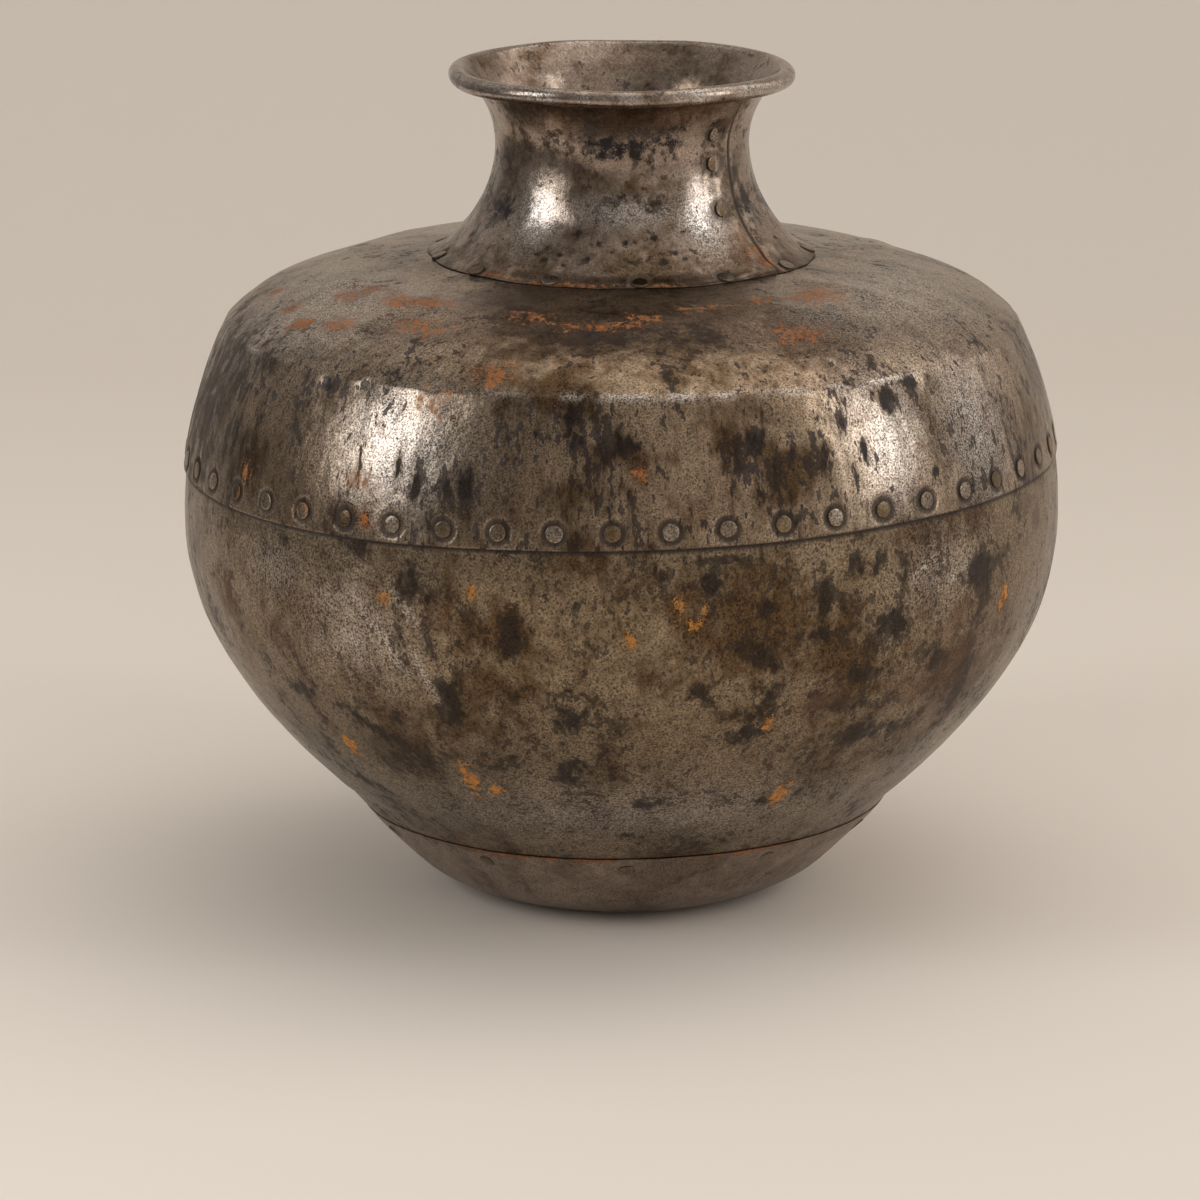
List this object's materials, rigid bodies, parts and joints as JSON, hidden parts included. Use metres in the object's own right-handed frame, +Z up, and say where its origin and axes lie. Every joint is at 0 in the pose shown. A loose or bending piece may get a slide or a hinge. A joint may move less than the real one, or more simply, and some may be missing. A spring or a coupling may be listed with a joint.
{
  "type": "metal water pot",
  "caption": "Round-bellied sheet-iron water pot with a creased shoulder, a flared neck with a rolled rim and a dished foot, its lapped sheets held by rivets.",
  "frame": {"origin": "on the floor at the pot's axis, under the middle of the foot", "axes": "+Z up along the pot's axis, -Y towards the front, +X to the right"},
  "size_m": [0.3796, 0.3792, 0.3587],
  "materials": {
    "foot_iron": "smooth hammered sheet iron, brown oxide",
    "bowl_iron": "hammered sheet iron, mottled oxide, worn",
    "shell_iron": "hammered sheet iron, polished in patches, rust spots",
    "neck_iron": "hammered sheet iron, polished by handling",
    "wire_iron": "drawn iron wire, brown oxide",
    "rivet_iron": "flat-hammered iron heads, worn bright"
  },
  "bodies": {
    "root": {"base_pan": "foot_iron", "lower_bowl": "bowl_iron", "upper_shell": "shell_iron", "neck_collar": "neck_iron", "rim_wire": "wire_iron", "base_seam_rivets": "rivet_iron", "belly_seam_rivets": "rivet_iron", "neck_flange_rivets": "rivet_iron", "neck_seam_rivets": "rivet_iron"}
  },
  "joints": []
}
